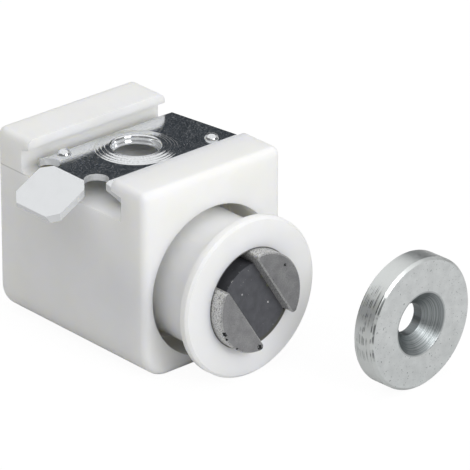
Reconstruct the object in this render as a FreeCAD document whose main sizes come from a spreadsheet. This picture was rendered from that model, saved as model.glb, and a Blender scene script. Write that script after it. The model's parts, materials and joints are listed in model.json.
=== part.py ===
import FreeCAD, Part
import math
import os
import re
import Sketcher

# Adjustable magnetic catch for a cupboard door, with its strike disc.
# Frame: +Z up, front towards -Y, origin at the middle of the housing's underside.
# All sizes are in millimetres and degrees.

DOC = FreeCAD.newDocument("MagneticCatch")
SHEET = DOC.addObject("Spreadsheet::Sheet", "Sizes")

SIZES = {
    # moulded housing
    "housing_width": 20.24,
    "housing_depth": 25.57,
    "housing_height": 23.0,
    "lower_edge_radius": 3.5,
    "outer_edge_radius": 0.9,
    # channel for the fixing plate, between the two lipped rails
    "channel_depth": 4.45,
    "lip_reach": 5.6,
    "lip_face_height": 1.24,
    "lip_slope_height": 0.3,
    "front_stem_thickness": 3.95,
    "rear_stem_thickness": 4.4,
    "channel_corner_radius": 0.75,
    # bore for the magnet barrel
    "bore_roof": 1.1,
    "bore_floor": 1.95,
    "mouth_step": 1.25,
    "mouth_end_wall": 0.75,
    "recess_depth": 6.3,
    "bore_end_wall": 2.4,
    "barrel_running_gap": 0.05,
    # magnet barrel
    "barrel_length": 22.0,
    "barrel_stand_out": 6.27,
    "flange_step": 1.81,
    "flange_thickness": 1.1,
    "flange_edge_chamfer": 0.3,
    "barrel_end_chamfer": 0.8,
    # pole pieces and the block between them
    "barrel_wall": 1.78,
    "pole_fit_gap": 0.02,
    "pole_stand_out": 1.75,
    "pole_pocket_depth": 8.0,
    "pole_tip_radius": 0.45,
    "pole_edge_chamfer": 0.15,
        "slot_angle": 32.4,
    "magnet_thickness": 5.0,
    "magnet_upper_gap": 1.75,
    "magnet_lower_gap": 0.45,
    "magnet_fit_gap": 0.02,
    "magnet_stand_out": 0.15,
    # bent sheet of the fixing plate
    "sheet_thickness": 0.8,
    "panel_drop": 2.05,
    "plate_side_gap": 0.22,
    "plate_floor_gap": 0.05,
    "rear_edge_lift": 0.35,
    "panel_rear_share": 0.7306,
    "panel_front_share": 0.4161,
    "front_foot_share": 0.859,
    "right_overhang": 0.05,
    "end_slant": 8.4,
    "left_end_inset": 2.12,
    "rear_strip_inset": 2.2,
    # tab at the left end of the plate, with its relief notches
    "tab_bend_inset": 0.72,
    "tab_angle": 28.0,
    "tab_length": 6.15,
    "tab_half_width": 3.88,
    "tab_offset": 0.1,
    "tab_front_root_step": 1.1,
    "tab_rear_root_step": 1.43,
    "tab_shoulder": 1.0,
    "tab_tip_step": 1.35,
    "tab_tip_length": 1.2,
    "notch_radius": 1.42,
    "front_notch_back": 1.25,
    "rear_notch_out": 0.15,
    "front_notch_share": 0.743,
    "rear_notch_share": 0.683,
    # pressed bead, groove and collar round the screw hole
    "screw_hole_radius": 2.68,
    "collar_x": 0.7,
    "ring_margin": 0.01,
    "bead_height": 0.38,
    "groove_height": 0.22,
    "collar_height": 0.28,
    # pressed pips that bite into the cupboard panel
    "pip_radius": 0.85,
    "pip_height": 0.55,
    "left_pip_inset": 3.69,
    "left_pip_share": 0.87,
    "right_pip_inset": 1.3,
    "right_pip_share": 0.758,
    # strike disc
    "disc_radius": 7.8,
    "disc_thickness": 3.0,
    "disc_hole_radius": 1.9,
    "disc_sink_radius": 3.7,
    "disc_edge_chamfer": 0.3,
    "disc_beside": 2.18,
    "disc_ahead": 20.8,
    "disc_turn": 2.8,
}

# Sizes that follow from those above
HALF_WIDTH = "(housing_width / 2)"
HALF_DEPTH = "(housing_depth / 2)"
FLOOR = "(housing_height - channel_depth)"
BORE = f"(({FLOOR} - bore_roof - bore_floor) / 2)"
AXIS = f"(bore_floor + {BORE})"
MOUTH = f"({BORE} + mouth_step)"
BARREL = f"({BORE} - barrel_running_gap)"
FLANGE = f"({BARREL} + flange_step)"
FLANGE_FACE = f"({HALF_DEPTH} + barrel_stand_out)"
POCKET = f"({BARREL} - barrel_wall)"
POLE = f"({POCKET} - pole_fit_gap)"
MAGNET_END = f"({POCKET} - (magnet_upper_gap + magnet_lower_gap) / 2)"
MAGNET_LOW = "(magnet_lower_gap / 2 - magnet_upper_gap / 2)"
PANEL = "(housing_height - panel_drop)"
SHEET_REAR = f"({HALF_DEPTH} - rear_stem_thickness - plate_side_gap)"
SHEET_FRONT = f"({HALF_DEPTH} - front_stem_thickness - plate_side_gap)"
PANEL_REAR = f"({SHEET_REAR} * panel_rear_share)"
PANEL_FRONT = f"({SHEET_FRONT} * panel_front_share)"
FRONT_FOOT = f"({SHEET_FRONT} * front_foot_share)"
PANEL_MIDDLE = f"(({PANEL_REAR} - {PANEL_FRONT}) / 2)"
PANEL_HALF = f"(({PANEL_REAR} + {PANEL_FRONT}) / 2)"
RESTING = f"({FLOOR} + plate_floor_gap)"
BEND = f"({HALF_WIDTH} - tab_bend_inset)"
TAB_MIDDLE = f"({PANEL_MIDDLE} - tab_offset)"
RING = f"({PANEL_HALF} - ring_margin)"

for row, (name, value) in enumerate(SIZES.items(), start=1):
    SHEET.set("A%d" % row, name)
    SHEET.set("B%d" % row, str(value))
    SHEET.setAlias("B%d" % row, name)
DOC.recompute()


def sized(text):
    """The expression with each size's alias taken from the sheet."""
    return re.sub(r"[a-z_]+", lambda word: "Sizes." + word[0] if word[0] in SIZES else word[0], text)


def body(name):
    """A new part body with its own name."""
    item = DOC.addObject("PartDesign::Body", name)
    item.Label = name
    return item


def plane_of(item, role):
    """One of the body's own origin planes."""
    for feature in item.Origin.OriginFeatures:
        if feature.Role == role:
            return feature


def new_sketch(item, name, role, offset="0"):
    """A sketch on one of the body's planes, moved along the plane's normal by an expression."""
    sketch = item.newObject("Sketcher::SketchObject", name)
    sketch.AttachmentSupport = [(plane_of(item, role), "")]
    sketch.MapMode = "FlatFace"
    sketch.setExpression("AttachmentOffset.Base.z", sized(offset))
    return sketch


def pin(sketch, edge, end, across, up):
    """Holds one point of the sketch at the sheet's position."""
    spot = sketch.getPoint(edge, end)
    for kind, start, text in (("DistanceX", spot.x, across), ("DistanceY", spot.y, up)):
        number = sketch.addConstraint(Sketcher.Constraint(kind, -1, 1, edge, end, start))
        sketch.setExpression("Constraints[%d]" % number, sized(text))


def outline(sketch, corners):
    """A closed polygon whose corners are held at (across, up) expressions."""
    count = len(corners)
    first = sketch.GeometryCount
    spots = [FreeCAD.Vector(20 * math.cos(-2 * math.pi * i / count), 20 * math.sin(-2 * math.pi * i / count), 0)
             for i in range(count)]
    for i in range(count):
        sketch.addGeometry(Part.LineSegment(spots[i], spots[(i + 1) % count]), False)
    for i in range(count):
        sketch.addConstraint(Sketcher.Constraint("Coincident", first + i, 2, first + (i + 1) % count, 1))
    for i, (across, up) in enumerate(corners):
        pin(sketch, first + i, 1, across, up)


def ring(sketch, across, up, radius):
    """A circle with its centre and radius from the sheet."""
    number = sketch.addGeometry(Part.Circle(FreeCAD.Vector(1, 1, 0), FreeCAD.Vector(0, 0, 1), 2.0), False)
    pin(sketch, number, 3, across, up)
    held = sketch.addConstraint(Sketcher.Constraint("Radius", number, 2.0))
    sketch.setExpression("Constraints[%d]" % held, sized(radius))


def pad(item, name, sketch, length, middle=False, backwards=False):
    """Material along the sketch's normal."""
    step = item.newObject("PartDesign::Pad", name)
    step.Profile = sketch
    step.Midplane = middle
    step.Reversed = backwards
    step.setExpression("Length", sized(length))
    DOC.recompute()
    return step


def cut(item, name, sketch, length=None, middle=False, backwards=False):
    """Material taken away along the sketch's normal; through everything when no length is given."""
    before = item.Shape.Volume
    step = item.newObject("PartDesign::Pocket", name)
    step.Profile = sketch
    step.Midplane = middle
    step.Reversed = backwards
    if length is None:
        step.Type = "ThroughAll"
    else:
        step.setExpression("Length", sized(length))
    DOC.recompute()
    if item.Shape.Volume > before - 1e-4:
        raise RuntimeError(name + " cut nothing")
    return step


def turned(item, name, sketch, axis_edge="V_Axis", kind="PartDesign::Revolution"):
    """A full turn of the sketch about one of its axes."""
    step = item.newObject(kind, name)
    step.Profile = sketch
    step.ReferenceAxis = (sketch, [axis_edge])
    step.Angle = 360
    DOC.recompute()
    return step


def dressed(item, name, kind, size, wanted):
    """A fillet or chamfer on the edges for which the test is true."""
    base = item.Tip
    names = ["Edge%d" % (i + 1) for i, edge in enumerate(base.Shape.Edges) if wanted(edge)]
    if not names:
        raise RuntimeError(name + " found no edge")
    step = item.newObject("PartDesign::" + kind, name)
    step.Base = (base, names)
    step.setExpression("Radius" if kind == "Fillet" else "Size", sized(size))
    DOC.recompute()
    return step


def value(name):
    """A size as it stands in the sheet."""
    return float(SHEET.get(name))


# Housing: rounded block, channel with two lipped rails, stepped bore

def build_housing():
    item = body("housing")
    front = new_sketch(item, "FrontOutline", "XZ_Plane")
    outline(front, [(f"-{HALF_WIDTH}", "0"), (HALF_WIDTH, "0"),
                    (HALF_WIDTH, "housing_height"), (f"-{HALF_WIDTH}", "housing_height")])
    pad(item, "Block", front, "housing_depth", middle=True)
    dressed(item, "LowerEdges", "Fillet", "lower_edge_radius",
            lambda edge: edge.BoundBox.ZMax < 0.01 and edge.BoundBox.XLength < 0.01)

    channel = new_sketch(item, "ChannelProfile", "YZ_Plane")
    front_stem = f"-({HALF_DEPTH} - front_stem_thickness)"
    rear_stem = f"{HALF_DEPTH} - rear_stem_thickness"
    lip = f"({HALF_DEPTH} - lip_reach)"
    lip_low = "housing_height - lip_face_height"
    slope_low = "housing_height - lip_face_height - lip_slope_height"
    above = "housing_height + 2"
    outline(channel, [(front_stem, FLOOR), (rear_stem, FLOOR), (rear_stem, slope_low), (lip, lip_low), (lip, above),
                      (f"-{lip}", above), (f"-{lip}", lip_low), (front_stem, slope_low)])
    cut(item, "Channel", channel, middle=True)
    floor = value("housing_height") - value("channel_depth")
    dressed(item, "ChannelCorners", "Fillet", "channel_corner_radius",
            lambda edge: edge.BoundBox.XLength > 5 and edge.BoundBox.YLength < 0.01
            and edge.BoundBox.YMin > 0 and abs(edge.BoundBox.ZMax - floor) < 0.01 and edge.BoundBox.ZLength < 0.01)

    half_depth = value("housing_depth") / 2
    height = value("housing_height")

    def outer(edge):
        box = edge.BoundBox
        on_end = box.YLength < 0.01 and abs(abs(box.YMin) - half_depth) < 0.01
        on_top = box.ZLength < 0.01 and abs(box.ZMin - height) < 0.01 and box.YLength > 1
        return on_end or on_top
    dressed(item, "OuterEdges", "Fillet", "outer_edge_radius", outer)

    mouth = new_sketch(item, "BoreMouth", "XZ_Plane", HALF_DEPTH)
    ring(mouth, "0", AXIS, MOUTH)
    cut(item, "Mouth", mouth, "front_stem_thickness - mouth_end_wall")
    recess = new_sketch(item, "RecessOutline", "XZ_Plane", HALF_DEPTH)
    flat_topped_ring(recess)
    cut(item, "Recess", recess, "recess_depth")
    bore = new_sketch(item, "BoreOutline", "XZ_Plane", HALF_DEPTH)
    ring(bore, "0", AXIS, BORE)
    cut(item, "Bore", bore, "housing_depth - bore_end_wall")
    return item


def flat_topped_ring(sketch):
    """The mouth's circle with a flat roof level with the top of the bore, under the channel floor."""
    spread = f"sqrt({MOUTH} ^ 2 - {BORE} ^ 2)"
    roof = sketch.addGeometry(Part.LineSegment(FreeCAD.Vector(-4, 17, 0), FreeCAD.Vector(4, 17, 0)), False)
    around = sketch.addGeometry(Part.ArcOfCircle(Part.Circle(FreeCAD.Vector(0, 9, 0), FreeCAD.Vector(0, 0, 1), 9.0),
                                                 math.radians(120), math.radians(420)), False)
    pin(sketch, roof, 1, f"-{spread}", f"{AXIS} + {BORE}")
    pin(sketch, roof, 2, spread, f"{AXIS} + {BORE}")
    level = sketch.addConstraint(Sketcher.Constraint("DistanceY", -1, 1, around, 3, 9.0))
    sketch.setExpression("Constraints[%d]" % level, sized(AXIS))
    sketch.addConstraint(Sketcher.Constraint("Coincident", roof, 1, around, 1))
    sketch.addConstraint(Sketcher.Constraint("Coincident", roof, 2, around, 2))


# Magnet barrel: turned body with a front flange and the pocket for the poles

def build_barrel():
    item = body("magnet_barrel")
    profile = new_sketch(item, "BarrelProfile", "YZ_Plane")
    outline(profile, [(f"-{FLANGE_FACE}", "0"),
                      (f"-{FLANGE_FACE}", f"{FLANGE} - flange_edge_chamfer"),
                      (f"flange_edge_chamfer - {FLANGE_FACE}", FLANGE),
                      (f"flange_thickness - {FLANGE_FACE}", FLANGE),
                      (f"flange_thickness - {FLANGE_FACE}", BARREL),
                      (f"barrel_length - barrel_end_chamfer - {FLANGE_FACE}", BARREL),
                      (f"barrel_length - {FLANGE_FACE}", f"{BARREL} - barrel_end_chamfer"),
                      (f"barrel_length - {FLANGE_FACE}", "0")])
    turned(item, "Turned", profile, "H_Axis")

    pocket = new_sketch(item, "PoleRound", "XZ_Plane", FLANGE_FACE)
    ring(pocket, "0", "0", POCKET)
    cut(item, "PolePocket", pocket, "pole_pocket_depth")
    half = "magnet_thickness / 2"
    stop = new_sketch(item, "LowerEndOutline", "XZ_Plane", FLANGE_FACE)
    outline(stop, [(f"-({half})", f"-({POCKET} + 0.6)"), (half, f"-({POCKET} + 0.6)"),
                   (half, f"-{POCKET} / 2"), (f"-({half})", f"-{POCKET} / 2")])
    pad(item, "LowerEnd", stop, "pole_pocket_depth", backwards=True)
    seat = new_sketch(item, "MagnetSeatRound", "XZ_Plane", FLANGE_FACE)
    ring(seat, "0", MAGNET_LOW, f"{MAGNET_END} + magnet_fit_gap")
    cut(item, "MagnetSeat", seat, "pole_pocket_depth")
    return item


def pole(name, side):
    """A round bar's segment, cut flat beside the block; side is 1 towards +X and -1 towards -X."""
    item = body(name)
    front = f"{FLANGE_FACE} + pole_stand_out"
    face = new_sketch(item, "RoundOutline", "XZ_Plane", front)
    ring(face, "0", "0", POLE)
    pad(item, "Bar", face, "pole_pocket_depth + pole_stand_out", backwards=True)
    flat = new_sketch(item, "FlatOutline", "XZ_Plane", front)
    near = "magnet_thickness / 2"
    far = f"({POLE} + 1)"
    low, high = (f"-{far}", near) if side == 1 else (f"-({near})", far)
    outline(flat, [(low, f"-{far}"), (high, f"-{far}"), (high, far), (low, far)])
    cut(item, "Flat", flat)
    dressed(item, "Tips", "Fillet", "pole_tip_radius",
            lambda edge: edge.BoundBox.YLength > 5 and edge.BoundBox.XLength < 0.01 and edge.BoundBox.ZLength < 0.01
            and abs(abs(edge.BoundBox.XMin) - value("magnet_thickness") / 2) < 0.01)
    depth = item.Shape.BoundBox.YMin
    dressed(item, "FaceEdge", "Chamfer", "pole_edge_chamfer",
            lambda edge: abs(edge.BoundBox.YMin - depth) < 0.01 and abs(edge.BoundBox.YMax - depth) < 0.01)
    return item


def build_magnet():
    """A slab with round ends, flat where it lies against the poles."""
    item = body("ferrite_magnet")
    face = new_sketch(item, "RoundOutline", "XZ_Plane", f"{FLANGE_FACE} + magnet_stand_out")
    ring(face, "0", MAGNET_LOW, MAGNET_END)
    pad(item, "Bar", face, "pole_pocket_depth + magnet_stand_out", backwards=True)
    flats = new_sketch(item, "FlatOutline", "XZ_Plane", f"{FLANGE_FACE} + magnet_stand_out")
    for sign in ("-", ""):
        near = f"{sign}(magnet_thickness / 2)"
        far = f"{sign}({POLE} + 1)"
        outline(flats, [(near, f"-{POLE} * 2"), (far, f"-{POLE} * 2"), (far, f"{POLE} * 2"), (near, f"{POLE} * 2")])
    cut(item, "Flats", flats)
    return item


# Fixing plate: bent sheet, slanted ends, tab, pressed collar and pips

def build_plate():
    item = body("fixing_plate")
    foot_top = f"({RESTING} + sheet_thickness)"
    rear_top = f"({foot_top} + rear_edge_lift)"
    rear_fall = f"(({PANEL} - {rear_top}) / ({SHEET_REAR} - {PANEL_REAR}))"
    front_fall = f"(({PANEL} - {foot_top}) / ({FRONT_FOOT} - {PANEL_FRONT}))"
    inset = "sheet_thickness * tan(atan({0}) / 2)"
    under = f"{PANEL} - sheet_thickness"
    profile = new_sketch(item, "SheetProfile", "YZ_Plane")
    outline(profile, [
        (f"-{SHEET_FRONT}", foot_top),
        (f"-{FRONT_FOOT}", foot_top),
        (f"-{PANEL_FRONT}", PANEL),
        (PANEL_REAR, PANEL),
        (SHEET_REAR, rear_top),
        (SHEET_REAR, f"{rear_top} - sheet_thickness * sqrt(1 + {rear_fall} ^ 2)"),
        (f"{PANEL_REAR} - {inset.format(rear_fall)}", under),
        (f"-({PANEL_FRONT} - {inset.format(front_fall)})", under),
        (f"-({FRONT_FOOT} - {inset.format(front_fall)})", RESTING),
        (f"-{SHEET_FRONT}", RESTING)])
    pad(item, "Sheet", profile, "housing_width * 2", middle=True)

    slant = "tan(end_slant * 1deg)"
    right = new_sketch(item, "RightEnd", "XY_Plane", f"{PANEL} + 2")
    corner = f"{HALF_WIDTH} + right_overhang"
    outline(right, [(f"{corner} + ({PANEL_REAR} + housing_depth) * {slant}", "-housing_depth"),
                    ("housing_width * 1.5", "-housing_depth"), ("housing_width * 1.5", "housing_depth"),
                    (f"{corner} + ({PANEL_REAR} - housing_depth) * {slant}", "housing_depth")])
    cut(item, "RightCut", right)

    left = new_sketch(item, "LeftEnd", "XY_Plane", f"{PANEL} + 2")
    edge = lambda back: f"-({HALF_WIDTH} - left_end_inset + ({back} + {PANEL_FRONT}) * {slant})"
    low = f"{PANEL_MIDDLE} - {PANEL_HALF} * front_notch_share"
    high = f"{TAB_MIDDLE} + tab_half_width - tab_rear_root_step"
    strip = f"-({HALF_WIDTH} - rear_strip_inset)"
    outline(left, [("-housing_width * 1.5", "-housing_depth"),
                   (edge("-housing_depth"), "-housing_depth"),
                   (edge(low), low), (f"-{BEND}", low), (f"-{BEND}", high), (edge(high), high),
                   (edge(PANEL_REAR), PANEL_REAR), (strip, PANEL_REAR),
                   (strip, "housing_depth"), ("-housing_width * 1.5", "housing_depth")])
    cut(item, "LeftCut", left)

    notches = new_sketch(item, "Notches", "XY_Plane", f"{PANEL} + 2")
    ring(notches, f"-({BEND} - front_notch_back)", f"{PANEL_MIDDLE} - {PANEL_HALF} * front_notch_share", "notch_radius")
    ring(notches, f"-({BEND} + rear_notch_out)", f"{PANEL_MIDDLE} + {PANEL_HALF} * rear_notch_share", "notch_radius")
    cut(item, "NotchCut", notches)
    bend_tab(item)
    return item


def bend_tab(item):
    """The tab, bent down from the panel's left end, with cut corners and a narrower root."""
    under = f"{PANEL} - sheet_thickness"
    reach = "tab_length * cos(tab_angle * 1deg)"
    drop = "tab_length * sin(tab_angle * 1deg)"
    side = new_sketch(item, "TabProfile", "XZ_Plane", f"-{TAB_MIDDLE}")
    outline(side, [(f"-{BEND}", PANEL), (f"-{BEND}", under),
                   (f"-{BEND} + sheet_thickness * tan(tab_angle * 0.5deg) - 0.001", under),
                   (f"-({BEND} + {reach}) + sheet_thickness * sin(tab_angle * 1deg)",
                    f"{PANEL} - {drop} - sheet_thickness * cos(tab_angle * 1deg)"),
                   (f"-({BEND} + {reach})", f"{PANEL} - {drop}")])
    pad(item, "Tab", side, "2 * tab_half_width", middle=True)

    inside = f"-({BEND} - 0.4)"
    tip = "tab_half_width - tab_tip_step"
    along = lambda length: f"-({BEND} + ({length}) * cos(tab_angle * 1deg))"
    for name, sign, step in (("FrontTabSide", "-", "tab_front_root_step"), ("RearTabSide", "+", "tab_rear_root_step")):
        off = lambda width: f"{TAB_MIDDLE} {sign} ({width})"
        root = f"tab_half_width - {step}"
        trim = new_sketch(item, name, "XY_Plane", f"{PANEL} + 2")
        outline(trim, [(inside, off(root)), (along("0"), off(root)),
                       (along("tab_shoulder"), off("tab_half_width")),
                       (along("tab_length - tab_tip_length"), off("tab_half_width")),
                       (along("tab_length"), off(tip)),
                       (along("tab_length + 1"), off(f"{tip} - 1")),
                       (along("tab_length + 1"), off("tab_half_width + 2")),
                       (along("tab_shoulder * 0.5"), off("tab_half_width + 0.4")),
                       (inside, off("tab_half_width + 0.4"))])
        cut(item, name + "Cut", trim)


def press_collar(item):
    """The raised bead, groove and inner collar round the screw hole, all of the sheet's thickness."""
    clear = new_sketch(item, "CollarSeat", "XY_Plane", f"{PANEL} + 2")
    ring(clear, "collar_x", PANEL_MIDDLE, f"{RING} - 0.05")
    cut(item, "CollarRoom", clear)
    under = f"{PANEL} - sheet_thickness"
    width = f"({RING} - screw_hole_radius)"
    across = lambda share: f"screw_hole_radius + {width} * {share}"
    profile = lying_profile(item, "CollarProfile", "collar_x", f"-{PANEL_MIDDLE}")
    outline(profile, [(RING, under), (RING, PANEL),
                      (across("0.78"), f"{PANEL} + bead_height"),
                      (across("0.62"), f"{PANEL} + bead_height"),
                      (across("0.44"), f"{PANEL} + groove_height"),
                      (across("0.34"), f"{PANEL} + groove_height"),
                      (across("0.16"), f"{PANEL} + collar_height"),
                      ("screw_hole_radius", f"{PANEL} + collar_height"),
                      ("screw_hole_radius", f"{under} + groove_height"),
                      (across("0.44"), f"{under} + groove_height"),
                      (across("0.62"), f"{under} + bead_height"),
                      (across("0.72"), f"{under} + bead_height")])
    turned(item, "Collar", profile)
    crest = value("housing_height") - value("panel_drop") + value("bead_height")
    dressed(item, "CrestEdges", "Fillet", "bead_height * 0.7",
            lambda edge: abs(edge.BoundBox.ZMin - crest) < 0.01 and edge.BoundBox.ZLength < 0.01)


def lying_profile(item, name, across, forward):
    """A sketch whose vertical axis is the axis to turn about, moved across and forward."""
    profile = new_sketch(item, name, "XZ_Plane", forward)
    profile.setExpression("AttachmentOffset.Base.x", sized(across))
    return profile


def press_pip(item, name, across, forward):
    """A small round-topped pip standing on the plate."""
    profile = lying_profile(item, name + "Profile", across, forward)
    root = f"{PANEL} - sheet_thickness * 0.5"
    outline(profile, [("0", root), ("pip_radius", root), ("pip_radius", PANEL),
                      ("pip_radius * 0.82", f"{PANEL} + pip_height * 0.55"),
                      ("pip_radius * 0.45", f"{PANEL} + pip_height * 0.9"),
                      ("0", f"{PANEL} + pip_height")])
    turned(item, name, profile)


# Strike disc: turned with a countersunk hole, standing on its edge

def build_disc():
    item = body("strike_disc")
    profile = new_sketch(item, "DiscProfile", "XY_Plane")
    outline(profile, [("disc_hole_radius", "disc_thickness"), ("disc_radius - disc_edge_chamfer", "disc_thickness"),
                      ("disc_radius", "disc_thickness - disc_edge_chamfer"),
                      ("disc_radius", "disc_edge_chamfer"),
                      ("disc_radius - disc_edge_chamfer", "0"),
                      ("disc_sink_radius", "0"), ("disc_hole_radius", "disc_sink_radius - disc_hole_radius")])
    turned(item, "Turned", profile)
    return item


housing = build_housing()
barrel = build_barrel()
upper_pole = pole("upper_pole_piece", 1)
lower_pole = pole("lower_pole_piece", -1)
magnet = build_magnet()
plate = build_plate()
press_collar(plate)
press_pip(plate, "LeftPip", f"-({HALF_WIDTH} - left_pip_inset)", f"-({PANEL_MIDDLE} + {PANEL_HALF} * left_pip_share)")
press_pip(plate, "RightPip", f"{HALF_WIDTH} - right_pip_inset", f"-({PANEL_MIDDLE} - {PANEL_HALF} * right_pip_share)")
disc = build_disc()

# The barrel and what it carries lie on the bore's axis, turned so that the slot leans
for item in (barrel, upper_pole, lower_pole, magnet):
    item.Placement = FreeCAD.Placement(FreeCAD.Vector(0, 0, 0), FreeCAD.Rotation(FreeCAD.Vector(0, -1, 0), 0))
    item.setExpression("Placement.Base.z", sized(AXIS))
    item.setExpression("Placement.Rotation.Axis.y", "-1")
    item.setExpression("Placement.Rotation.Axis.z", "0")
    item.setExpression("Placement.Rotation.Angle", sized("slot_angle"))

# The disc stands on its edge in front of the catch, its sunk side to the front
disc.setExpression("Placement.Base.x", sized(f"{HALF_WIDTH} + disc_beside"))
disc.setExpression("Placement.Base.y", sized(f"-({HALF_DEPTH} + disc_ahead)"))
disc.setExpression("Placement.Base.z", sized("disc_radius"))
disc.setExpression("Placement.Rotation.Axis.z", "1")
disc.setExpression("Placement.Rotation.Angle", sized("disc_turn"))

DOC.recompute()

parts = [housing, plate, barrel, upper_pole, lower_pole, magnet, disc]
for item in DOC.Objects:
    if "Invalid" in item.State or "Error" in item.State:
        raise RuntimeError(item.Name + " is not valid")
os.makedirs("parts", exist_ok=True)
for item in parts:
    if item.Shape.isNull() or not item.Shape.isValid() or len(item.Shape.Solids) != 1:
        raise RuntimeError(item.Label + " is not one valid solid")
    item.Shape.exportStep("parts/" + item.Label + ".step")
    print(item.Label, round(item.Shape.Volume, 2), item.Shape.optimalBoundingBox())
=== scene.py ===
import json
import math

import bpy
import numpy as np
from mathutils import Matrix, Vector

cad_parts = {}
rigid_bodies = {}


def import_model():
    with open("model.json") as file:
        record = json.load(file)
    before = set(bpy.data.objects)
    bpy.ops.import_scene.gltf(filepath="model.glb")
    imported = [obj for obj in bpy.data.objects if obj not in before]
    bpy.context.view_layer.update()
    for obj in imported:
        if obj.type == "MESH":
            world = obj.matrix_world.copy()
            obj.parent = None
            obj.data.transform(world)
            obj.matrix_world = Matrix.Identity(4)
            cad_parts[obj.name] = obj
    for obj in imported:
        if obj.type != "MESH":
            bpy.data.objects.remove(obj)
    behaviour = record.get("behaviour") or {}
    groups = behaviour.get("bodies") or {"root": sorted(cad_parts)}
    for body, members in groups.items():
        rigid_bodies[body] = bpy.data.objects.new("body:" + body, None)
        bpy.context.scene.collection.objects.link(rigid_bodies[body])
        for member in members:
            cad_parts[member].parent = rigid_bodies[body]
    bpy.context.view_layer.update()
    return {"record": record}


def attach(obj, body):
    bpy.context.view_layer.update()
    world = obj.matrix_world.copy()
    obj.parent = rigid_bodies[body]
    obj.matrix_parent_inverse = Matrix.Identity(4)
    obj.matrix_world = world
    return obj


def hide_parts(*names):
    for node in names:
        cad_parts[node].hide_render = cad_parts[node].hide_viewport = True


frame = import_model()


# Colours and nodes

def linear(hex_colour):
    """Linear RGBA of an sRGB hex colour: the standard curve, channel by channel."""
    parts = [int(hex_colour[i:i + 2], 16) / 255 for i in (0, 2, 4)]
    return [c / 12.92 if c <= 0.04045 else ((c + 0.055) / 1.055) ** 2.4 for c in parts] + [1.0]


def add(tree, kind, *inputs, out=None, **more):
    """One node; gives back its output named out, or else its first one in use.

    The inputs fill its sockets in order, and more names its settings and its other sockets. What goes to a
    socket is a value, an sRGB hex colour or another node's output.
    """
    item = tree.nodes.new("ShaderNode" + kind)
    settings = [name for name in more if hasattr(item, name)]
    for name in settings:
        setattr(item, name, more.pop(name))
    in_order = zip([socket for socket in item.inputs if socket.enabled], inputs)
    named = [(item.inputs[name.replace("_", " ")], value) for name, value in more.items()]
    for socket, value in [*in_order, *named]:
        if isinstance(value, bpy.types.NodeSocket):
            tree.links.new(value, socket)
        else:
            socket.default_value = linear(value) if isinstance(value, str) else value
    if out:
        return item.outputs[out]
    return next((socket for socket in item.outputs if socket.enabled), None)


def start(name, colour, metallic=0.0, roughness=0.5):
    """A material with its shader; gives back both, the node tree and the place on the object in mm."""
    material = bpy.data.materials.new(name)
    material.use_nodes = True
    tree = material.node_tree
    shader = tree.nodes["Principled BSDF"]
    shader.inputs["Base Color"].default_value = linear(colour)
    shader.inputs["Metallic"].default_value = metallic
    shader.inputs["Roughness"].default_value = roughness
    place = add(tree, "VectorMath", add(tree, "TexCoord", out="Object"), 1000.0, operation="SCALE")
    return material, tree, shader, place


def from_axis(tree, place, middle):
    """Distance from the line along Y through middle: the length of the place less middle, with its Y made 0."""
    centred = add(tree, "VectorMath", place, middle, operation="SUBTRACT")
    flat = add(tree, "VectorMath", centred, (1.0, 0.0, 1.0), operation="MULTIPLY")
    return add(tree, "VectorMath", flat, operation="LENGTH")


def spot(tree, place, centre, size):
    """1 inside a ragged patch about size mm across round centre, and 0 outside."""
    far = add(tree, "VectorMath", place, centre, operation="DISTANCE")
    ragged = add(tree, "TexNoise", place, Scale=1 / (0.35 * size), Detail=4.0)
    ragged = add(tree, "MapRange", ragged, 0.3, 0.7, -0.35 * size, 0.35 * size)
    edge = add(tree, "Math", far, ragged, operation="ADD")
    return add(tree, "MapRange", edge, 0.55 * size, 0.4 * size)


# Places on the pieces, in mm

PARTING_HEIGHT = 18.55
HOUSING_END = 10.1
POCKET_MIDDLE = (0.0, 0.0, 9.7)
POCKET_RADIUS = 6.02
PANEL_HEIGHT = 20.95
DISC_MIDDLE = (12.3, -33.585, 7.8)
DISC_TURN = math.radians(2.8)
DISC_RADIUS = 7.6
SINKING_RADIUS = 3.9

# Chips on the poles: middle and size. Dust and glue marks on the magnet, with painted highlights among them: middle,
# size and colour.
CHIPS = (((-5.5, -20.8, 7.5), 0.8), ((-5.2, -20.8, 6.7), 0.6), ((-0.2, -20.8, 4.3), 0.7),
         ((3.5, -20.8, 13.3), 0.35), ((-3.6, -20.8, 5.2), 0.3))
# The first three pale marks are painted highlights along the edge of the magnet's upper-left end; the rest are dust
# and glue.
DUST_GLUE_AND_HIGHLIGHTS = (((-3.0, -19.2, 12.8), 0.35, "cfd0d0"), ((-1.8, -19.2, 13.7), 0.4, "c8c9c9"),
        ((-0.8, -19.2, 14.1), 0.3, "b9baba"), ((1.5, -19.2, 12.0), 0.5, "5d6048"),
        ((2.35, -19.2, 10.6), 0.4, "666a52"), ((2.4, -19.2, 8.5), 0.22, "d6d6d6"),
        ((-1.45, -19.2, 10.6), 0.2, "b0b0b2"))


# Materials. Each noise has its size in mm as 1 over its scale.

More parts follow.
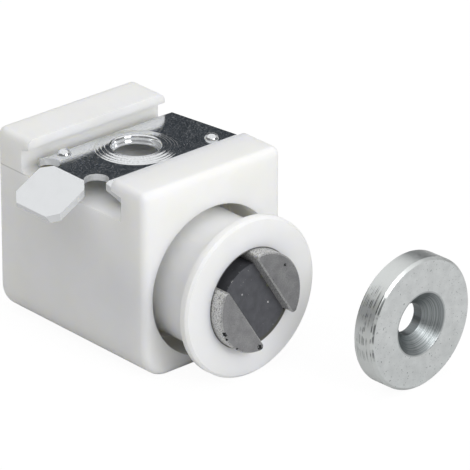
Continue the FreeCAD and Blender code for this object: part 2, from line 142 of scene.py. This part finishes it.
def moulded_polystyrene(name, roughness):
    """White injection-moulded polystyrene: light sinks in and glows at thin walls, over a faint satin grain.

    Flow marks are 6 mm. The mould's grain of about 0.05 mm is drawn 0.25 mm, to show.
    """
    material, tree, shader, place = start(name, "f8f8f6", roughness=roughness)
    flow = add(tree, "TexNoise", place, Scale=1 / 6.0, Detail=2.0)
    flow = add(tree, "MapRange", flow, 0.35, 0.65)
    white = add(tree, "Mix", flow, "f5f5f2", "f8f8f6", data_type="RGBA")
    grain = add(tree, "TexNoise", place, Scale=1 / 0.25, Detail=2.0)
    satin = add(tree, "MapRange", grain, 0.3, 0.7, roughness - 0.05, roughness + 0.05)
    bump = add(tree, "Bump", Height=grain, Strength=1.0, Distance=0.000004)
    tree.links.new(white, shader.inputs["Base Color"])
    tree.links.new(satin, shader.inputs["Roughness"])
    tree.links.new(bump, shader.inputs["Normal"])
    shader.inputs["Specular IOR Level"].default_value = 0.4
    shader.inputs["Subsurface Weight"].default_value = 0.8
    shader.inputs["Subsurface Radius"].default_value = (1.0, 0.95, 0.75)
    shader.inputs["Subsurface Scale"].default_value = 0.0028
    return material, tree, shader, place, white


def housing_plastic(name):
    """The housing's satin polystyrene, with a thin grey line of painted shade along the mould's parting on its two
    ends, at the rear.
    """
    material, tree, shader, place, white = moulded_polystyrene(name, 0.42)
    # Painted shade: a thin grey line at the parting height, on the two ends at the rear, for the shadow under the
    # small step there.
    away = add(tree, "Math", add(tree, "SeparateXYZ", place, out="Z"), PARTING_HEIGHT, operation="SUBTRACT")
    line = add(tree, "MapRange", add(tree, "Math", away, operation="ABSOLUTE"), 0.1, 0.04)
    side = add(tree, "Math", add(tree, "SeparateXYZ", place, out="X"), operation="ABSOLUTE")
    at_end = add(tree, "MapRange", side, HOUSING_END - 0.1, HOUSING_END - 0.02)
    at_rear = add(tree, "MapRange", add(tree, "SeparateXYZ", place, out="Y"), 3.0, 4.0)
    line = add(tree, "Math", line, at_end, operation="MULTIPLY")
    line = add(tree, "Math", line, at_rear, operation="MULTIPLY")
    line = add(tree, "Math", line, 0.5, operation="MULTIPLY")
    parting_shaded = add(tree, "Mix", line, white, "b4b4ae", data_type="RGBA")
    tree.links.new(parting_shaded, shader.inputs["Base Color"])
    return material


def barrel_plastic(name):
    """The barrel's polystyrene, smoother from sliding, with painted shade in the pocket and in a line round its
    mouth, where the gap round the poles lies in shadow.
    """
    material, tree, shader, place, white = moulded_polystyrene(name, 0.34)
    radius = from_axis(tree, place, POCKET_MIDDLE)
    # Painted shade: dark grey inside the pole pocket's radius, for the shadow in the gap between the poles and the
    # plastic.
    gap_shade = add(tree, "MapRange", radius, POCKET_RADIUS + 0.06, POCKET_RADIUS - 0.06)
    gap_shaded = add(tree, "Mix", gap_shade, white, "55554f", data_type="RGBA")
    tree.links.new(gap_shaded, shader.inputs["Base Color"])
    return material


def bright_zinc(name):
    """Bright zinc plating on cold-rolled, sheared and pressed sheet: near mirror, bluish, slightly hazy.

    Haze is 1.4 mm, drag marks 0.35 mm, drawn out along X, and pits 0.22 mm. The dull specks on the level
    panel, really under 0.1 mm, are drawn 0.2 mm, to show. The sheared edges are duller than the faces.
    """
    material, tree, shader, place = start(name, "dddfe1", metallic=1.0, roughness=0.1)
    pits = add(tree, "TexNoise", place, Scale=1 / 0.22, Detail=3.0)
    haze = add(tree, "TexNoise", place, Scale=1 / 1.4, Detail=5.0)
    drawn_out = add(tree, "VectorMath", place, (7.0, 0.4, 1.0), operation="DIVIDE")
    marks = add(tree, "TexNoise", drawn_out, Scale=1 / 0.35, Detail=4.0)
    specks = add(tree, "TexNoise", place, Scale=1 / 0.2, Detail=3.0)
    height = add(tree, "SeparateXYZ", place, out="Z")
    on_panel = add(tree, "MapRange", height, PANEL_HEIGHT - 0.45, PANEL_HEIGHT - 0.15)
    up = add(tree, "SeparateXYZ", add(tree, "NewGeometry", out="Normal"), out="Z")
    upright = add(tree, "MapRange", add(tree, "Math", up, operation="ABSOLUTE"), 0.5, 0.3)
    below_panel = add(tree, "MapRange", height, PANEL_HEIGHT + 0.04, PANEL_HEIGHT - 0.02)
    sheared = add(tree, "Math", upright, below_panel, operation="MULTIPLY")

    dull = add(tree, "MapRange", specks, 0.52, 0.72, 0.0, 0.3)
    dull = add(tree, "Math", dull, on_panel, operation="MULTIPLY")
    dull = add(tree, "Math", dull, add(tree, "Math", sheared, 0.7, operation="MULTIPLY"), operation="ADD")
    metallic = add(tree, "Math", 1.0, dull, operation="SUBTRACT")
    tree.links.new(metallic, shader.inputs["Metallic"])
    rough = add(tree, "Math", marks, haze, operation="ADD")
    tree.links.new(add(tree, "MapRange", rough, 0.7, 1.3, 0.05, 0.16), shader.inputs["Roughness"])
    worn = add(tree, "Math", marks, pits, operation="ADD")
    tree.links.new(add(tree, "Bump", Height=worn, Strength=1.0, Distance=0.000006), shader.inputs["Normal"])
    return material


def turned_zinc(name):
    """Zinc plating on a turned and tumbled steel disc: satin, mottled face, ringed sinking, streaked rim.

    Mottling is 1.2 mm and specks 0.2 mm. The tool's rings are 0.11 mm apart, and the dark streaks along the
    rim's left side 0.2 mm, both drawn at about twice the lathe's feed, to show.
    """
    material, tree, shader, place = start(name, "bfc3c4", metallic=1.0, roughness=0.36)
    centred = add(tree, "VectorMath", place, DISC_MIDDLE, operation="SUBTRACT")
    squared = add(tree, "VectorRotate", centred, rotation_type="Z_AXIS", Angle=-DISC_TURN)
    radius = from_axis(tree, squared, (0.0, 0.0, 0.0))
    in_sinking = add(tree, "MapRange", radius, SINKING_RADIUS, SINKING_RADIUS - 0.3)
    on_rim = add(tree, "MapRange", radius, DISC_RADIUS - 0.2, DISC_RADIUS)
    turns = add(tree, "Math", radius, 9.0, operation="MULTIPLY")
    ringed = add(tree, "TexNoise", W=turns, noise_dimensions="1D", Scale=1.0, Detail=3.0)
    across = add(tree, "Math", add(tree, "SeparateXYZ", squared, out="Y"), 5.0, operation="MULTIPLY")
    streaked = add(tree, "TexNoise", W=across, noise_dimensions="1D", Scale=1.0, Detail=3.0)
    broken = add(tree, "TexNoise", place, Scale=1 / 1.4, Detail=3.0)
    specks = add(tree, "TexNoise", place, Scale=1 / 0.2, Detail=3.0)
    mottle = add(tree, "TexNoise", place, Scale=1 / 1.2, Detail=5.0)

    mottled = add(tree, "MapRange", mottle, 0.35, 0.7)
    colour = add(tree, "Mix", mottled, "e4e7e7", "d6d9d9", data_type="RGBA")
    colour = add(tree, "Mix", add(tree, "MapRange", specks, 0.66, 0.72), colour, "7d8284", data_type="RGBA")
    colour = add(tree, "Mix", in_sinking, colour, "9da2a3", data_type="RGBA")
    rings = add(tree, "MapRange", ringed, 0.42, 0.62)
    rings = add(tree, "Math", rings, in_sinking, operation="MULTIPLY")
    rings = add(tree, "Math", rings, 0.6, operation="MULTIPLY")
    colour = add(tree, "Mix", rings, colour, "5f6466", data_type="RGBA")
    colour = add(tree, "Mix", on_rim, colour, "dadddc", data_type="RGBA")
    left = add(tree, "MapRange", add(tree, "SeparateXYZ", squared, out="X"), -4.6, -6.0)
    upper = add(tree, "MapRange", add(tree, "SeparateXYZ", squared, out="Z"), -3.0, -1.0)
    streaks = add(tree, "MapRange", streaked, 0.5, 0.6)
    for mask in (add(tree, "MapRange", broken, 0.45, 0.55), left, upper, on_rim):
        streaks = add(tree, "Math", streaks, mask, operation="MULTIPLY")
    colour = add(tree, "Mix", streaks, colour, "4c5052", data_type="RGBA")
    tree.links.new(colour, shader.inputs["Base Color"])

    tree.links.new(add(tree, "MapRange", specks, 0.35, 0.7, 0.3, 0.46), shader.inputs["Roughness"])
    grooves = add(tree, "Math", ringed, in_sinking, operation="MULTIPLY")
    height = add(tree, "Math", specks, grooves, operation="ADD")
    tree.links.new(add(tree, "Bump", Height=height, Strength=1.0, Distance=0.000012), shader.inputs["Normal"])
    return material


def sawn_steel(name):
    """Bare mild steel sawn off a drawn bar: dull grey, small pits, chipped corners, and sides painted paler, partly
    for the drawn bar's brighter outer layer and partly as a painted highlight where the sides face the light.

    Clouding is 1.3 mm and pits 0.33 mm. The saw's grain of under 0.1 mm is drawn 0.16 mm, to show.
    """
    material, tree, shader, place = start(name, "8a8a8b", metallic=0.55, roughness=0.45)
    grain = add(tree, "TexNoise", place, Scale=1 / 0.16, Detail=3.0)
    cloud = add(tree, "TexNoise", place, Scale=1 / 1.3, Detail=4.0)
    pits = add(tree, "TexNoise", place, Scale=1 / 0.33, Detail=2.0)
    colour = add(tree, "Mix", add(tree, "MapRange", cloud, 0.35, 0.7), "a4a4a5", "8b8b8d", data_type="RGBA")
    grained = add(tree, "MapRange", grain, 0.3, 0.75, 0.0, 0.5)
    colour = add(tree, "Mix", grained, colour, "747476", data_type="RGBA")
    colour = add(tree, "Mix", add(tree, "MapRange", pits, 0.69, 0.75), colour, "3a3a3c", data_type="RGBA")
    forward = add(tree, "SeparateXYZ", add(tree, "NewGeometry", out="Normal"), out="Y")
    # Sides painted paler by which way they face: partly the drawn bar's brighter outer layer, partly a painted
    # highlight on sides that face the light.
    drawn = add(tree, "MapRange", add(tree, "Math", forward, operation="ABSOLUTE"), 0.8, 0.6)
    skin_and_painted_highlight = add(tree, "Mix", add(tree, "MapRange", grain, 0.5, 0.62), "d2d2d1", "8d8d8d", data_type="RGBA")
    colour = add(tree, "Mix", drawn, colour, skin_and_painted_highlight, data_type="RGBA")
    for centre, size in CHIPS:
        colour = add(tree, "Mix", spot(tree, place, centre, size), colour, "242426", data_type="RGBA")
    tree.links.new(colour, shader.inputs["Base Color"])
    height = add(tree, "Math", grain, pits, operation="ADD")
    tree.links.new(add(tree, "Bump", Height=height, Strength=1.0, Distance=0.00002), shader.inputs["Normal"])
    return material


def pressed_ferrite(name):
    """Pressed and ground ferrite: near black and dull, with fine scratches, pale dust, marks of glue and pale
    painted highlights along its upper-left end.

    Clouding is 1 mm, dust 0.28 mm and the grinding scratches 0.35 mm, drawn coarser than they are, to show.
    """
    material, tree, shader, place = start(name, "4a4b50", roughness=0.5)
    drawn_out = add(tree, "VectorMath", place, (0.5, 1.0, 2.5), operation="DIVIDE")
    scratch = add(tree, "TexNoise", drawn_out, Scale=1 / 0.35, Detail=4.0)
    cloud = add(tree, "TexNoise", place, Scale=1.0, Detail=4.0)
    dust = add(tree, "TexNoise", place, Scale=1 / 0.28, Detail=2.0)
    colour = add(tree, "Mix", add(tree, "MapRange", cloud, 0.35, 0.7), "56575c", "494a4f", data_type="RGBA")
    scratched = add(tree, "MapRange", scratch, 0.55, 0.8, 0.0, 0.5)
    colour = add(tree, "Mix", scratched, colour, "626369", data_type="RGBA")
    colour = add(tree, "Mix", add(tree, "MapRange", dust, 0.735, 0.77), colour, "a8a9aa", data_type="RGBA")
    # Dust and glue marks, and pale painted highlights at the magnet's upper-left end.
    for centre, size, mark in DUST_GLUE_AND_HIGHLIGHTS:
        colour = add(tree, "Mix", spot(tree, place, centre, size), colour, mark, data_type="RGBA")
    tree.links.new(colour, shader.inputs["Base Color"])
    tree.links.new(add(tree, "Bump", Height=scratch, Strength=1.0, Distance=0.000012), shader.inputs["Normal"])
    return material


materials = {
    "white_plastic": housing_plastic("moulded_polystyrene_housing"),
    "barrel_plastic": barrel_plastic("moulded_polystyrene_barrel"),
    "zinc_plate": bright_zinc("bright_zinc_plated_sheet"),
    "pole_steel": sawn_steel("sawn_mild_steel"),
    "ferrite": pressed_ferrite("pressed_ferrite"),
    "disc_zinc": turned_zinc("turned_zinc_plated_steel"),
}
for part in frame["record"]["subparts"]:
    node = bpy.data.objects[part["node"]]
    for slot in node.material_slots:
        slot.material = materials[part["material_slot"]]


# Fixing plate: the CAD sheet with finer pressings, worked out in mm

SHEET = 0.8
SPAN_STEPS = 6
CLOSE = 0.003
LEVEL_SLACK = 0.01
RIM_SLACK = 0.05
RIM_REACH = 0.1
SHARP_ANGLE = math.radians(24)

# Half-sections of the pressings, as (radius, height over the panel)
COLLAR = [(4.765, 0.0), (4.66, 0.05), (4.45, 0.076), (4.33, 0.124), (4.05, 0.158), (3.93, 0.206), (3.63, 0.243),
          (3.51, 0.291), (3.2, 0.325), (3.06, 0.34), (2.95, 0.325), (2.86, 0.25), (2.78, 0.12), (2.73, -0.05),
          (2.69, -0.22), (2.6, -0.42), (2.55, -0.58), (2.56, -0.68), (2.62, -0.74), (2.75, -0.72), (3.0, -0.6),
          (3.6, -0.5), (4.2, -0.55), (4.5, -0.68), (4.66, -0.78), (4.715, -SHEET)]
PIP = [(0.85, 0.0), (0.8, 0.14), (0.7, 0.3), (0.54, 0.44), (0.36, 0.53), (0.18, 0.57), (0.0, 0.58)]

# Each pressing's middle, radius, points in a circle, depth of the opening cut for it, and half-section
PRESSINGS = [((0.7, 1.1903, PANEL_HEIGHT), 4.765, 160, SHEET, COLLAR),
             ((-6.43, 5.3446, PANEL_HEIGHT), 0.85, 48, 0.0, PIP),
             ((8.82, -2.4292, PANEL_HEIGHT), 0.85, 48, 0.0, PIP)]


def smooth_line(points, steps):
    """A curve through the points: cubic spans whose slope at each point is half the step between its neighbours."""
    p = np.array(points, dtype=float)
    p = np.vstack([2 * p[0] - p[1], p, 2 * p[-1] - p[-2]])
    a, b, c, d = p[:-3], p[1:-2], p[2:-1], p[3:]
    t = np.linspace(0.0, 1.0, steps, endpoint=False)[:, None, None]
    spans = 0.5 * (2 * b + (c - a) * t + (2 * a - 5 * b + 4 * c - d) * t ** 2 + (3 * b - a - 3 * c + d) * t ** 3)
    return np.vstack([spans.transpose(1, 0, 2).reshape(-1, 2), p[-2]])


def turned_surface(section, middle, around):
    """A half-section of (radius, height) points turned about a vertical axis: each point makes a circle."""
    angle = np.linspace(-np.pi, np.pi, around, endpoint=False)
    radius, height = section[:, :1], section[:, 1:]
    x = middle[0] + radius * np.cos(angle)
    y = middle[1] + radius * np.sin(angle)
    points = np.stack([x, y, np.broadcast_to(middle[2] + height, x.shape)], axis=-1).reshape(-1, 3)
    row, column = np.meshgrid(np.arange(len(section) - 1), np.arange(around), indexing="ij")
    here = row * around + column
    beside = row * around + (column + 1) % around
    corners = np.stack([here, beside, here + around, beside, beside + around, here + around], axis=-1)
    return points, corners.reshape(-1, 3)


def joined_rings(first, second):
    """Triangles between two rings, given by their points' rising angles: each edge takes the point across."""
    ahead, behind = [ring + np.diff(ring, append=ring[0] + 2 * np.pi) / 2 for ring in (first, second)]
    i, j = np.arange(len(first)), np.arange(len(second))
    over = np.stack([i, (i + 1) % len(first),
                     np.searchsorted(behind, ahead) % len(second) + len(first)], axis=-1)
    under = np.stack([(j + 1) % len(second) + len(first), j + len(first),
                      np.searchsorted(ahead, behind) % len(first)], axis=-1)
    return np.vstack([over, under])


def merged(points, corners):
    """The same triangles, with points in one place, to 0.0001 mm, made one and those without area left out."""
    spots, index = np.unique(np.round(points * 1e4).astype(np.int64), axis=0, return_inverse=True)
    corners = index.reshape(-1)[corners]
    a, b, c = corners.T
    return spots / 1e4, corners[(a != b) & (b != c) & (a != c)]


def rim_of_hole(points, corners, middle, reach, height):
    """The points on the open edge round middle at one height, by rising angle, and their angles."""
    edges = np.sort(np.vstack([corners[:, [0, 1]], corners[:, [1, 2]], corners[:, [2, 0]]]), axis=1)
    edges, uses = np.unique(edges, axis=0, return_counts=True)
    rim = points[np.unique(edges[uses == 1])]
    away = np.hypot(rim[:, 0] - middle[0], rim[:, 1] - middle[1])
    rim = rim[(np.abs(rim[:, 2] - height) < RIM_SLACK) & (away < reach)]
    angle = np.arctan2(rim[:, 1] - middle[1], rim[:, 0] - middle[0])
    return rim[np.argsort(angle)], np.sort(angle)


def cad_triangles(name):
    """The points in mm and the triangles of a CAD node's mesh, with its doubles merged."""
    source = bpy.data.objects[name].data
    source.calc_loop_triangles()
    points = np.empty(len(source.vertices) * 3)
    source.vertices.foreach_get("co", points)
    corners = np.empty(len(source.loop_triangles) * 3, dtype=np.int32)
    source.loop_triangles.foreach_get("vertices", corners)
    return merged(points.reshape(-1, 3) * 1000, corners.reshape(-1, 3))


def pressed_shapes():
    """The CAD sheet less its coarse collar and pips, and turned surfaces joined to the rims in their places."""
    points, corners = cad_triangles("fixing_plate")
    shapes = []
    for middle, edge, around, depth, section in PRESSINGS:
        away = np.hypot(points[:, 0] - middle[0], points[:, 1] - middle[1])
        inside = (away < edge + CLOSE) & (points[:, 2] > middle[2] - depth - LEVEL_SLACK)
        under = points[:, 2] < middle[2] - depth + LEVEL_SLACK
        corners = corners[~inside[corners].all(axis=1) | (under[corners].all(axis=1) & (depth > 0.0))]
        rim, rim_angle = rim_of_hole(points, corners, middle, edge + RIM_REACH, middle[2])
        turn = np.linspace(-np.pi, np.pi, around, endpoint=False)
        line = smooth_line(section, SPAN_STEPS)[1:]
        if depth > 0.0:
            line = line[:-1]
        surface, faces = turned_surface(line, middle, around)
        shapes += [(surface, faces), (np.vstack([rim, surface[:around]]), joined_rings(rim_angle, turn))]
        if depth > 0.0:
            low_rim, low_angle = rim_of_hole(points, corners, middle, edge + RIM_REACH, middle[2] - depth)
            shapes.append((np.vstack([surface[-around:], low_rim]), joined_rings(turn, low_angle)))
    shapes.append((points, corners))
    first = np.cumsum([0] + [len(shape[0]) for shape in shapes[:-1]])
    corners = np.vstack([shape[1] + start for shape, start in zip(shapes, first)])
    return merged(np.vstack([shape[0] for shape in shapes]), corners)


def pressed_plate():
    """The plate's mesh: flat facets on level ground, rounded shading elsewhere, and sharp bends and edges."""
    points, corners = pressed_shapes()
    mesh = bpy.data.meshes.new("pressed_plate")
    mesh.from_pydata((points / 1000).tolist(), [], corners.tolist())
    a, b, c = points[corners].transpose(1, 0, 2)
    across = np.cross(b - a, c - a)
    level = np.abs(across[:, 2]) > 0.9999 * np.linalg.norm(across, axis=1)
    level |= (np.abs(points[corners][:, :, 2] - PANEL_HEIGHT) < CLOSE).all(axis=1)
    mesh.shade_smooth()
    mesh.set_sharp_from_angle(angle=SHARP_ANGLE)
    mesh.polygons.foreach_set("use_smooth", ~level)
    mesh.materials.append(materials["zinc_plate"])
    plate = bpy.data.objects.new("pressed_plate", mesh)
    bpy.context.collection.objects.link(plate)
    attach(plate, "fixing_plate")
    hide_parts("fixing_plate")


pressed_plate()


# Floor, world, lamps and camera

def lay_floor(half, white, share):
    """A square sheet of paper under the object. The camera sees share of it as white, the rest with shadow."""
    mesh = bpy.data.meshes.new("floor")
    mesh.from_pydata([(-half, -half, 0), (half, -half, 0), (half, half, 0), (-half, half, 0)], [], [(0, 1, 2, 3)])
    floor = bpy.data.objects.new("floor", mesh)
    bpy.context.collection.objects.link(floor)
    material = bpy.data.materials.new("floor_paper")
    material.use_nodes = True
    tree = material.node_tree
    tree.nodes.clear()
    paper = add(tree, "BsdfDiffuse", "e0e0e0")
    glow = add(tree, "Emission", Strength=white)
    seen = add(tree, "Math", add(tree, "LightPath", out="Is Camera Ray"), share, operation="MULTIPLY")
    add(tree, "OutputMaterial", add(tree, "MixShader", seen, paper, glow))
    mesh.materials.append(material)


def light_world(level):
    """An even pale sky, white where the camera sees it."""
    world = bpy.data.worlds.new("studio")
    bpy.context.scene.world = world
    world.use_nodes = True
    tree = world.node_tree
    tree.nodes.clear()
    sky = add(tree, "Background", "ffffff", level)
    white = add(tree, "Background", "ffffff", 1.0)
    seen = add(tree, "LightPath", out="Is Camera Ray")
    add(tree, "OutputWorld", add(tree, "MixShader", seen, sky, white))


def soft_lamp(name, place, size, power, aim):
    """A square soft box at place, facing aim."""
    lamp = bpy.data.lights.new(name, "AREA")
    lamp.size = size
    lamp.energy = power
    item = bpy.data.objects.new(name, lamp)
    item.location = place
    item.rotation_euler = (Vector(place) - Vector(aim)).to_track_quat("Z", "Y").to_euler()
    item.visible_camera = False
    bpy.context.collection.objects.link(item)


def studio_card(name, middle, width, height, colour):
    """A matt card facing the object, seen only in reflections: it gives bright metal something to mirror."""
    middle = Vector(middle)
    away = middle.normalized()
    side = away.cross(Vector((0, 0, 1))).normalized()
    up = side.cross(away)
    corners = [middle + side * width * s / 2 + up * height * t / 2 for s, t in ((-1, -1), (1, -1), (1, 1), (-1, 1))]
    mesh = bpy.data.meshes.new(name)
    mesh.from_pydata(corners, [], [(0, 1, 2, 3)])
    card = bpy.data.objects.new(name, mesh)
    bpy.context.collection.objects.link(card)
    material = bpy.data.materials.new(name)
    material.use_nodes = True
    shader = material.node_tree.nodes["Principled BSDF"]
    shader.inputs["Base Color"].default_value = linear(colour)
    shader.inputs["Roughness"].default_value = 1.0
    mesh.materials.append(material)
    card.visible_camera = False
    card.visible_diffuse = False
    card.visible_shadow = False


def aim_camera(azimuth, elevation, target, distance, lens):
    """The camera at an azimuth left of the front and an elevation, upright, looking at target."""
    back = Vector((math.sin(azimuth) * math.cos(elevation), -math.cos(azimuth) * math.cos(elevation),
                   math.sin(elevation)))
    side = Vector((math.cos(azimuth), math.sin(azimuth), 0.0))
    up = back.cross(side)
    camera = bpy.data.cameras.new("camera")
    camera.lens = lens
    camera.sensor_width = 36.0
    camera.clip_start = 0.01
    item = bpy.data.objects.new("camera", camera)
    turn = Matrix((side, up, back)).transposed().to_4x4()
    item.matrix_world = Matrix.Translation(Vector(target) + back * distance) @ turn
    bpy.context.collection.objects.link(item)
    bpy.context.scene.camera = item


lay_floor(half=3.0, white=1.05, share=0.9)
light_world(level=0.21)
soft_lamp("ceiling_lamp", (0.0, 0.0, 0.8), size=1.9, power=9.2, aim=(0.0, 0.0, 0.0))
soft_lamp("key_lamp", (0.0, -1.0, 0.5), size=0.5, power=5.7, aim=(0.0, -0.01, 0.01))
studio_card("rear_card", (0.455, 0.45, 0.285), width=0.8, height=0.26, colour="3b4148")
studio_card("left_card", (-0.11, 0.66, 0.25), width=0.4, height=0.36, colour="f4f4f4")
studio_card("right_card", (0.68, -0.06, 0.27), width=0.4, height=0.36, colour="f4f4f4")
aim_camera(math.radians(-41.50), math.radians(25.168), (0.013807, -0.000785, 0.006688), distance=0.62669, lens=417.6)
bpy.context.scene.view_settings.view_transform = "Standard"
